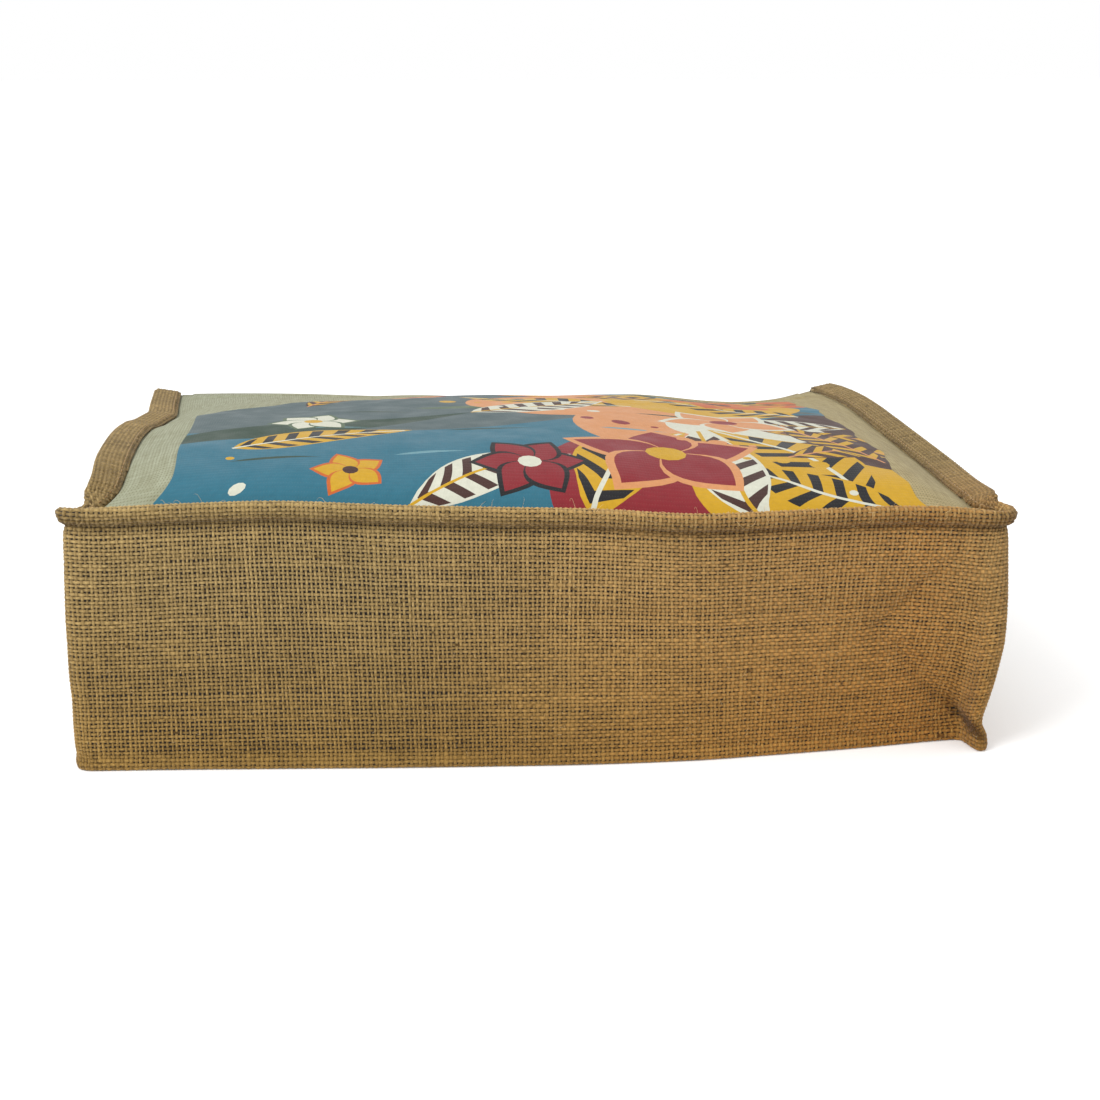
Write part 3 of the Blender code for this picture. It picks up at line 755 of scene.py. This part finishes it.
def make_backing(materials):
    """The burlap's inner side and what shows between its yarns, painted dark as the shade there, as one strip
    with its thickness.
    """
    places = refined(round_seams(np.array(ACROSS), np.array(UP_PANEL)), 4)
    points, down = gusset_section(Course(places))
    hem = (points[..., 1] > HEM_FROM) & (down > HEM_OFF_FOLD) & (down < WALL_CLOTH - HEM_OFF_FOLD)
    sink = BACKING_SINK + (BACKING_HEM - BACKING_THICK) / 2 * hem
    points = points - section_normals(points) * sink[..., None]
    rows, columns = down.shape
    uv = np.stack([np.broadcast_to(places[:, None], down.shape), down], -1).reshape(-1, 2)
    mesh = mesh_of("gusset_cloth", points.reshape(-1, 3), grid_faces(rows, columns)[:, ::-1], {"cloth": uv})
    rolled = np.broadcast_to(np.arange(columns - 1) < ROLLED_STEPS, (rows - 1, columns - 1)).ravel()
    mesh.polygons.foreach_set("material_index", rolled.astype(np.int32))
    piece = new_piece(mesh, "burlap", *materials)
    thicken(piece, BACKING_THICK, hem.ravel(), BACKING_HEM, 1)
    return piece


# ---- the panels

def crown(u, deep):
    """Rise of the front panel at shares of its width and distances from the bottom seam line."""
    return (along_rows(CROWN_ROWS, deep) * along_rows(CROWN_SHARES, u)).sum(1)


def panel_patch(edge, u, deep):
    """Points of a panel inside its seam line, blended from its three seams and its mouth edge."""
    left, right, bottom = (edge(Course(at)) for at in (left_seam(deep), right_seam(deep), bottom_seam(u)))
    corners = edge(Course(np.array([BOTTOM_FROM, BOTTOM_TO, 0.0, ALL_ALONG])))
    u, v = u[:, None], (deep / LENGTH)[:, None]
    low, mouth = (corners[k] * (1 - u) + corners[k + 1] * u for k in (0, 2))
    return left * (1 - u) + right * u + (bottom - low) * (1 - v), mouth


def front_points(u, deep):
    """The middle of the front panel's cloth."""
    points, mouth = panel_patch(lambda c: c.on_top(0, HALF_STEP), u, deep)
    ends = MOUTH_ROWS[0][1], MOUTH_ROWS[-1][1]
    lift = along_rows(MOUTH_ROWS, mouth[:, 0])[:, 0] - (ends[0] * (1 - u) + ends[1] * u)
    points[:, 2] += lift * deep / LENGTH + crown(u, deep)
    off_sides, off_ends = np.minimum(u, 1 - u), np.minimum(deep, LENGTH - deep)
    inner = eased(np.minimum(off_sides / RIPPLE_FADE_ACROSS, off_ends / RIPPLE_FADE_UP))
    x, y = points[:, 0], points[:, 1]
    ripple = 0.5 * np.sin(x / 23 + y / 61 + 1.0) * np.sin(y / 29 - x / 83) + 0.3 * np.sin(x / 11 - y / 17)
    points[:, 2] += ripple * inner
    return points


def back_points(u, deep):
    """The middle of the back panel's cloth, which lies on the table inside its flange."""
    points, _ = panel_patch(lambda c: c.on_foot(0, HALF_STEP), u, deep)
    inside = np.minimum(np.minimum(u, 1 - u) * WIDTH, deep)
    floor = np.where(in_hem(points, deep), HEM_THICK, PANEL_THICK) / 2
    flat = floor + (FLOOR_EDGE - floor) * (1 - eased((inside - FLOOR_EDGE_FLAT) / FLOOR_RAMP))
    points[:, 2] = np.where(inside > 0, flat, points[:, 2])
    return points


def in_hem(points, deep):
    return (deep > HEM_FROM) & (np.abs(points[:, 0]) < HEM_ACROSS)


def make_panel(name, inside, tucked, slot, material):
    """A panel as a grid inside its seam line, and rings from there to its raw edge in the flange.

    inside(u, deep) gives its points, and tucked(course, share) those from the seam line, at 0, to
    the raw edge, at 1.
    """
    across, up = refined(ACROSS, 4), refined(UP_PANEL, 4)
    wide, high = len(across), len(up)
    u, deep = np.repeat(across, high), np.tile(up, wide)
    points, uv = [inside(u, deep)], [np.stack([(u - 0.5) * WIDTH, deep], 1)]
    index = np.arange(wide * high).reshape(wide, high)
    seam = ring = np.concatenate([index[0, ::-1], index[1:, 0], index[-1, 1:]])
    course = Course(round_seams(across, up))
    faces = [grid_faces(wide, high)]
    for share in (0.12, 0.55, 1.0):
        fresh = np.arange(len(ring)) + sum(len(p) for p in points)
        points.append(tucked(course, share))
        uv.append(uv[0][seam])
        faces.append(np.stack([ring[:-1], fresh[:-1], fresh[1:], ring[1:]], 1)[:, ::-1])
        ring = fresh
    mesh = mesh_of(name, np.concatenate(points), np.concatenate(faces), {"cloth": np.concatenate(uv)})
    piece = new_piece(mesh, slot, material)
    thicken(piece, PANEL_THICK, in_hem(points[0], deep), HEM_THICK, 0)
    return piece


# ---- the print: leaves and flowers

# ink, red, green, blue
INKS = {ink: linear(*colour) for ink, *colour in (
    ("blue", 38, 94, 112), ("pale", 92, 132, 142), ("green", 30, 54, 40), ("sage", 70, 88, 62),
    ("gold", 178, 138, 22), ("peach", 186, 128, 82), ("crimson", 118, 26, 34), ("brown", 60, 36, 30),
    ("white", 186, 186, 170), ("black", 20, 19, 22), ("orange", 172, 84, 30), ("slate", 66, 82, 84),
)}
PRINT_LEFT, PRINT_RIGHT, PRINT_NEAR, PRINT_FAR = -175.0, 171.0, 2.0, 322.0
# the print's far edge: x, deep
PRINT_FAR_ROWS = (
    (-175, 170), (-166, 188), (-153, 195), (-140, 203), (-127, 220), (-98, 232), (-69, 259), (-40, 296),
    (0, 320), (20, 320), (80, 306), (171, 303),
)
PRINT_GRID = 4.0  # how finely the film follows the cloth
PRINT_HEIGHT = 0.68  # over the middle of the cloth
# ink, x, y, long, wide, turn, bend
FAR_BANKS = (
    ("slate", -250, 150, 400, 150, 9, -6), ("slate", -120, 268, 300, 110, -14, -6),
    ("green", -206, 78, 190, 34, 22, -5), ("sage", -60, 176, 150, 22, -8, 4),
)
# ink, x, y, radius
ROUND_GROUNDS = (
    ("peach", 30, 200, 62), ("gold", 104, 226, 58), ("orange", 160, 300, 56), ("crimson", 64, 30, 64),
    ("peach", 76, 118, 56), ("gold", 132, 40, 66), ("brown", 186, 120, 74), ("white", 112, 130, 42),
)
# ground, stripe, rib, leaves of x, y, long, wide, turn, bend
STRIPED_LEAVES = (
    ("gold", "black", "white", (
        (20, 4, 120, 44, 62, 8), (150, 6, 130, 46, 118, -8), (-150, 60, 96, 34, 24, 6),
        (60, 190, 110, 38, 150, 8), (152, 180, 104, 40, 150, -6), (166, 4, 90, 34, 150, 5),
    )),
    ("white", "brown", "gold", (
        (96, 2, 118, 40, 96, 6), (-30, 150, 100, 34, 40, -6), (-60, 8, 84, 30, 30, 5),
        (170, 150, 80, 30, 170, 5),
    )),
    ("brown", "gold", "peach", (
        (120, 60, 90, 26, 20, 5), (118, 130, 84, 24, -8, -5), (30, 230, 90, 22, 12, 6),
        (-120, 200, 80, 22, 60, 5), (90, 280, 90, 20, -6, 5), (168, 60, 100, 26, 110, 5),
    )),
)
PETAL_WIDE, EDGE_LONG, EDGE_WIDE, HEART_WIDE = 0.7, 1.12, 0.86, 0.22  # in shares of a flower's radius
# x, y, radius, petals, turn, ink, heart, edge
FLOWERS = (
    (60, 62, 46, 5, 20, "crimson", "gold", "peach"), (-8, 40, 26, 6, 5, "crimson", "white", "black"),
    (118, 250, 40, 6, 12, "orange", "brown", "gold"), (20, 288, 30, 7, 0, "gold", "crimson", "orange"),
    (-62, 268, 24, 5, 30, "peach", "crimson", "crimson"), (104, 150, 34, 5, 50, "peach", "crimson", "white"),
    (-112, 128, 22, 6, 10, "white", "gold", "sage"), (-92, 30, 17, 5, 40, "gold", "brown", "orange"),
)
# A leaf's stripes on each side, in shares of its length and, for their reach, of half its width
STRIPES, STRIPE_FROM, STRIPE_STEP, STRIPE_LONG, STRIPE_SLANT, STRIPE_REACH = 6, 0.14, 0.13, 0.06, 0.09, 0.9


def turned(points, x, y, turn):
    c, s = math.cos(math.radians(turn)), math.sin(math.radians(turn))
    return np.stack([x + points[:, 0] * c - points[:, 1] * s, y + points[:, 0] * s + points[:, 1] * c], 1)


def leaf_lines(t, long, wide, bend):
    """A leaf's midrib at shares of its length, and half its width there."""
    return np.stack([long * t, bend * np.sin(math.pi * t)], 1), wide / 2 * np.sin(math.pi * t ** 0.8)


def leaf(x, y, long, wide, turn, bend=0.0, count=12):
    """A pointed leaf that starts at (x, y)."""
    rib, half = leaf_lines(np.linspace(0, 1, count + 1), long, wide, bend)
    out = np.stack([0 * half, half], 1)
    return turned(np.concatenate([rib + out, (rib - out)[::-1][1:-1]]), x, y, turn)


def disc(x, y, radius, count=16):
    a = np.arange(count) * 2 * math.pi / count
    return np.stack([x + radius * np.cos(a), y + radius * np.sin(a)], 1)


def stripe_of_leaf(x, y, long, wide, turn, bend, start, side):
    """A slanted stripe of a leaf, from its midrib to its edge."""
    t = start + STRIPE_LONG * np.array([0.0, 0.5, 1.0])
    rib, half = leaf_lines(t, long, wide, bend)
    inner, outer = rib - [STRIPE_SLANT * long, 0], rib + np.stack([0 * t, side * half * STRIPE_REACH], 1)
    return turned(np.concatenate([inner, outer[::-1]]), x, y, turn)


def striped_leaf(lie, ground, stripe, rib):
    x, y, long, wide, turn, bend = lie
    shapes = [(ground, leaf(*lie, 16))]
    starts = [STRIPE_FROM + STRIPE_STEP * k for k in range(STRIPES)]
    shapes += [(stripe, stripe_of_leaf(*lie, start, side)) for side in (-1, 1) for start in starts]
    line, _ = leaf_lines(np.linspace(0, 0.96, 9), long, wide, bend)
    thick = np.array([0.0, 1.1]) * wide / 40
    return [*shapes, (rib, turned(np.concatenate([line - thick, (line + thick)[::-1]]), x, y, turn))]


def flower(x, y, radius, petals, turn, ink, heart, edge):
    """Pointed petals about a heart, each on a wider one that shows as its edge."""
    shapes = []
    for k in range(petals):
        angle = turn + 360.0 * k / petals
        shapes.append((edge, leaf(x, y, radius * EDGE_LONG, radius * EDGE_WIDE, angle, 0, 9)))
        shapes.append((ink, leaf(x, y, radius, radius * PETAL_WIDE, angle, 0, 9)))
    return [*shapes, (heart, disc(x, y, radius * HEART_WIDE, 12))]


def print_ground():
    """The printed field: straight at the near edge, wavy at the other three."""
    near = np.linspace(PRINT_LEFT, PRINT_RIGHT, 40)
    up = np.linspace(PRINT_NEAR, 300, 40)
    right = np.stack([PRINT_RIGHT + 1.8 * np.sin(up / 11) + 0.8 * np.sin(up / 4.3), up], 1)
    up = np.linspace(PRINT_NEAR, 166, 40)
    left = np.stack([PRINT_LEFT + 1.0 * np.sin(up / 19 + 1), up], 1)
    far = np.stack([near, along_rows(PRINT_FAR_ROWS, near)[:, 0] + 1.5 * np.sin(near / 13)], 1)
    low = np.stack([near, np.full(40, PRINT_NEAR)], 1)
    return np.concatenate([low[1:-1], right, far[::-1][1:-1], left[::-1]])


def print_shapes():
    """The print's shapes, from the lowest to the topmost, each an ink and an outline."""
    shapes = [("blue", print_ground())]
    shapes += [(ink, leaf(*lie, 24)) for ink, *lie in FAR_BANKS]
    shapes += [(ink, disc(*place, 40)) for ink, *place in ROUND_GROUNDS]
    for k in range(9):  # stems
        x, y, long, turn = -150 + 26 * k, 40 + 60 * (k % 3) + 9 * (k % 2), 44 - 3 * (k % 4), 4 - 3 * (k % 3)
        shapes.append(("pale" if k % 2 else "green", leaf(x, y, long, 3.2, turn, 2.5, 8)))
    for k in range(12):  # leaves that hang from the far edge
        x, long, turn = -146 + 26.5 * k, 52 + 9 * (k % 3), 250 + 11 * (k % 5) - 5 * (k % 2)
        shapes.append(("green" if k % 3 else "sage", leaf(x, 326, long, 19, turn, 4)))
    for *inks, leaves in STRIPED_LEAVES:
        for lie in leaves:
            shapes += striped_leaf(lie, *inks)
    for row in FLOWERS:
        shapes += flower(*row)
    for k in range(26):  # seeds
        x, y = -150 + 300 * ((k * 0.618) % 1), 12 + 296 * ((k * 0.377 + 0.11) % 1)
        shapes.append((("gold", "white", "crimson", "peach")[k % 4], disc(x, y, 2.2 + 1.4 * (k % 3), 10)))
    return shapes


def within(outline, points):
    """Which points lie inside an outline."""
    a, b = outline, np.roll(outline, -1, 0)
    x, y = points[:, :1], points[:, 1:]
    spans = (a[:, 1] > y) != (b[:, 1] > y)
    rise = np.where(b[:, 1] == a[:, 1], 1e-9, b[:, 1] - a[:, 1])
    return (spans & (x < a[:, 0] + (y - a[:, 1]) / rise * (b[:, 0] - a[:, 0]))).sum(1) % 2 == 1


def with_short_steps(outline):
    """The outline with its long sides cut, so that the film follows the cloth."""
    pieces = []
    for a, b in zip(outline, np.roll(outline, -1, 0)):
        count = max(1, math.ceil(np.linalg.norm(b - a) / PRINT_GRID))
        pieces.append(a + (b - a) * (np.arange(count) / count)[:, None])
    return np.concatenate(pieces)


def make_print(material):
    """The print as one film of flat shapes, cut where they meet and laid on the front panel."""
    shapes = print_shapes()
    points, edges = [], []
    for _, outline in shapes:
        outline = with_short_steps(outline)
        first, count = len(points), len(outline)
        edges += [(first + k, first + (k + 1) % count) for k in range(count)]
        points += [Vector(p) for p in outline.tolist()]
    across = np.arange(PRINT_LEFT + PRINT_GRID, PRINT_RIGHT - 2 * PRINT_GRID, PRINT_GRID)
    up = np.arange(PRINT_NEAR + PRINT_GRID, PRINT_FAR - PRINT_GRID, PRINT_GRID)
    points += [Vector((x, y)) for x in across for y in up]
    cut, _, triangles, *_ = delaunay_2d_cdt(points, edges, [], 0, 0.01)
    flat, triangles = np.array([tuple(p) for p in cut]), np.array(triangles)
    middles = flat[triangles].mean(1)
    colours = np.zeros((len(middles), 4), np.float32)
    for ink, outline in shapes:
        colours[within(outline, middles)] = INKS[ink]
    printed = within(shapes[0][1], middles)
    kept, triangles = np.unique(triangles[printed], return_inverse=True)
    flat, triangles = flat[kept], triangles.reshape(-1, 3)
    u, deep, step = flat[:, 0] / WIDTH + 0.5, flat[:, 1], 0.5
    middle = front_points(u, deep)
    aside, ahead = front_points(u + step / WIDTH, deep) - middle, front_points(u, deep + step) - middle
    laid = middle + unit(np.cross(aside, ahead)) * PRINT_HEIGHT
    mesh = mesh_of("printed_design", laid, triangles, {"cloth": flat})
    ink = mesh.color_attributes.new("ink", "FLOAT_COLOR", "CORNER")
    ink.data.foreach_set("color", np.repeat(colours[printed], 3, axis=0).ravel())
    return new_piece(mesh, "front_cloth", material)


def ink_material():
    """A smooth ink film that shows the weave below it a little."""
    n = Nodes("ink_film")
    uv = wavy_map(n)
    height, _ = weave_nodes(n, uv, (1.3, 2.6), 0.94)
    ink = n.shaded(n.attribute("ink", "Color"), n.ramp(n.noise(uv, 0.35, 3.0, 0.6), 0.3, 0.75, 0.92, 1.06))
    ink = n.mix(n.ramp(height, 0.0, 0.6, 0.22, 0.0), ink, COOL_CREAM[0])
    roughness = n.ramp(n.noise(uv, 0.06), 0.3, 0.7, 0.45, 0.6)
    return n.finish(ink, roughness, n.bump(height, 0.00006), 0.2)


# ---- threads and stray fibres

def tube_mesh(name, lines, radii, sides):
    """Many thin tubes as one mesh: lines (count, points, 3), radii (count, points)."""
    count, length = radii.shape
    way = unit(np.gradient(lines, axis=1))
    side = unit(np.cross(way, np.where(np.abs(way[..., 2:]) < 0.9, UP, [1.0, 0.0, 0.0])))
    other = np.cross(way, side)
    a = np.arange(sides) * 2 * math.pi / sides
    ring = side[:, :, None] * np.cos(a)[:, None] + other[:, :, None] * np.sin(a)[:, None]
    points = lines[:, :, None] + ring * radii[..., None, None]
    index = np.arange(count * length * sides).reshape(count, length, sides)
    after = np.roll(index, -1, axis=2)
    quads = np.stack([index[:, :-1], index[:, 1:], after[:, 1:], after[:, :-1]], -1).reshape(-1, 4)
    return mesh_of(name, points.reshape(-1, 3), quads)


# How far stitches are apart, deep in the flange, off the cloth's middle and in from the mouth
STITCH_PITCH, STITCH_DEEP, STITCH_OFF, STITCH_END = 4.4, 3.0, 0.85, 3.0
# along, out, radius
STITCH_SHAPE = ((-1.5, -0.3, 0.08), (-1.0, 0.05, 0.2), (0.0, 0.12, 0.24), (1.0, 0.05, 0.2), (1.5, -0.3, 0.08))
# Long fibres along the front rim, and short fuzz all over: count, from and to down the cloth, long, rise
FIBRES = ((160, -14.0, -7.0, 5.0, 1.0), (1500, -30.0, WALL_CLOTH, 2.4, 0.3))
FIBRE_POINTS, FIBRE_RADII, FIBRE_LIFT, FIBRE_CURL, FIBRE_ARCH = 6, (0.075, 0.03), 0.8, 0.6, 2.4


def make_stitches(material):
    """The seam's thread, as it shows on both sides of the front flange."""
    course = Course(np.arange(STITCH_END, ALL_ALONG - STITCH_END, STITCH_PITCH))
    along, off, radius = (column[:, None] for column in np.array(STITCH_SHAPE).T)
    lines = []
    for side, out in ((-STITCH_OFF, -course.top_side), (LAYER_STEP + STITCH_OFF, course.top_side)):
        middle = course.on_top(STITCH_DEEP, side)
        way = unit(np.gradient(middle, axis=0))
        lines.append(middle[:, None] + way[:, None] * along + out[:, None] * off)
    lines = np.concatenate(lines)
    mesh = tube_mesh("seam_stitches", lines, np.broadcast_to(radius.T, lines.shape[:2]), 5)
    return new_piece(mesh, "burlap", material)


def make_fibres(material, weave):
    """Loose jute fibres that lie on the burlap and rise from it in arches."""
    lines = []
    for count, low, high, long, rise in FIBRES:
        columns = RANDOM.integers(4, len(weave.along) - 4, count)
        rows = np.nonzero((weave.down > low) & (weave.down < high))[0]
        rows = rows[RANDOM.integers(0, len(rows), count)]
        good = weave.here[columns, rows]
        at, each = (columns[good], rows[good]), (good.sum(), 1, 1)
        start, out, along, down = (
            grid[at][:, None] for grid in (weave.points, weave.normal, weave.along_way, weave.down_way)
        )
        angle = RANDOM.uniform(0, 2 * math.pi, each)
        level = along * np.cos(angle) + down * np.sin(angle)
        length = RANDOM.uniform(0.4, 1.0, each) * long
        steep = RANDOM.uniform(0.1, 1.0, each) * rise
        curl = np.cross(out, level) * RANDOM.uniform(-FIBRE_CURL, FIBRE_CURL, each)
        t = np.linspace(0, 1, FIBRE_POINTS)[:, None]
        arch = np.sin(t * FIBRE_ARCH) * steep * length
        lines.append(start + out * (FIBRE_LIFT + arch) + (level * t + curl * t * t) * length)
    lines = np.concatenate(lines)
    radii = np.broadcast_to(np.linspace(*FIBRE_RADII, FIBRE_POINTS), lines.shape[:2])
    return new_piece(tube_mesh("stray_fibres", lines, radii, 3), "burlap", material)


# ---- floor, light and camera

# metres: name, place, size, power
LIGHTS = (
    ("key", (-1.3, -1.2, 1.5), (1.2, 1.2), 34),
    ("fill", (1.4, -1.6, 0.9), (1.0, 1.0), 2),
    ("top", (0.1, 0.6, 2.0), (1.6, 1.2), 5),
)
LIGHTS_AIM = Vector((0, 0, 0.05))
FLOOR_REACH = 30.0
# millimetres, millimetres, metres, degrees
CAMERA_LENS, CAMERA_SENSOR, CAMERA_PLACE, CAMERA_TURN = 69.58, 36.0, (-0.0632, -1.0444, 0.295), (77, 0, -4.3)


def make_floor():
    mesh = bpy.data.meshes.new("floor")
    corners = [(x * FLOOR_REACH, y * FLOOR_REACH, 0) for x, y in ((-1, -1), (1, -1), (1, 1), (-1, 1))]
    mesh.from_pydata(corners, [], [(0, 1, 2, 3)])
    n = Nodes("pale_floor")
    n.shader.inputs["Emission Color"].default_value = (1, 1, 1, 1)
    n.shader.inputs["Emission Strength"].default_value = 0.1
    mesh.materials.append(n.finish((0.93, 0.93, 0.93, 1), 0.9, None, 0.1))
    floor = add_to_scene(mesh)


def make_studio():
    world = bpy.data.worlds.new("studio")
    world.use_nodes = True
    background = world.node_tree.nodes["Background"]
    background.inputs["Color"].default_value = (1, 1, 1, 1)
    background.inputs["Strength"].default_value = 1.0
    bpy.context.scene.world = world
    for name, place, size, power in LIGHTS:
        data = bpy.data.lights.new(name, "AREA")
        data.shape = "RECTANGLE"
        data.size, data.size_y = size
        data.energy = power
        light = add_to_scene(data)
        light.location = place
        light.rotation_euler = (LIGHTS_AIM - light.location).to_track_quat("-Z", "Y").to_euler()
    bpy.context.scene.view_settings.view_transform = "Standard"


def make_camera():
    data = bpy.data.cameras.new("camera")
    data.lens, data.sensor_width = CAMERA_LENS, CAMERA_SENSOR
    camera = add_to_scene(data)
    camera.location = CAMERA_PLACE
    camera.rotation_euler = [math.radians(angle) for angle in CAMERA_TURN]
    bpy.context.scene.camera = camera


# ---- the bag

make_camera()
make_studio()
make_floor()

yarn_look = yarn_material()
# the dark sheet between the yarns is painted shade
gap_shade_look = fibre_material("burlap_gap_shade", GAP_SHADE, 0.7)
inner_look = cloth_material(
    "burlap_inner_side", OLIVE_YARN, OLIVE_YARN, GAP_SHADE,
    pitches=(DOWN.pitch, ALONG.pitch), fill=0.8, roughness=0.6, relief=0.0002,
)
cream_look = cloth_material(
    "natural_cloth", COOL_CREAM, WARM_CREAM, CREAM_HOLE_SHADE,
    pitches=(1.4, 2.2), fill=0.76, roughness=0.85, relief=0.00014,
)

yarns, weave = make_yarns(yarn_look)
backing = make_backing((gap_shade_look, inner_look))
stitches = make_stitches(fibre_material("thread", linear(150, 118, 72), 0.7))
fibres = make_fibres(fibre_material("loose_fibre", linear(206, 176, 124), 0.8), weave)
front = make_panel(
    "front_cloth", front_points,
    lambda c, share: c.on_top((c.wide - HALF_STEP - PANEL_TUCK) * share, HALF_STEP),
    "front_cloth", cream_look,
)
back = make_panel(
    "back_cloth", back_points, lambda c, share: c.on_foot(FOOT_TUCK * share, HALF_STEP),
    "back_cloth", cream_look,
)
printed = make_print(ink_material())

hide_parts("gusset")
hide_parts("front_panel")
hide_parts("back_panel")
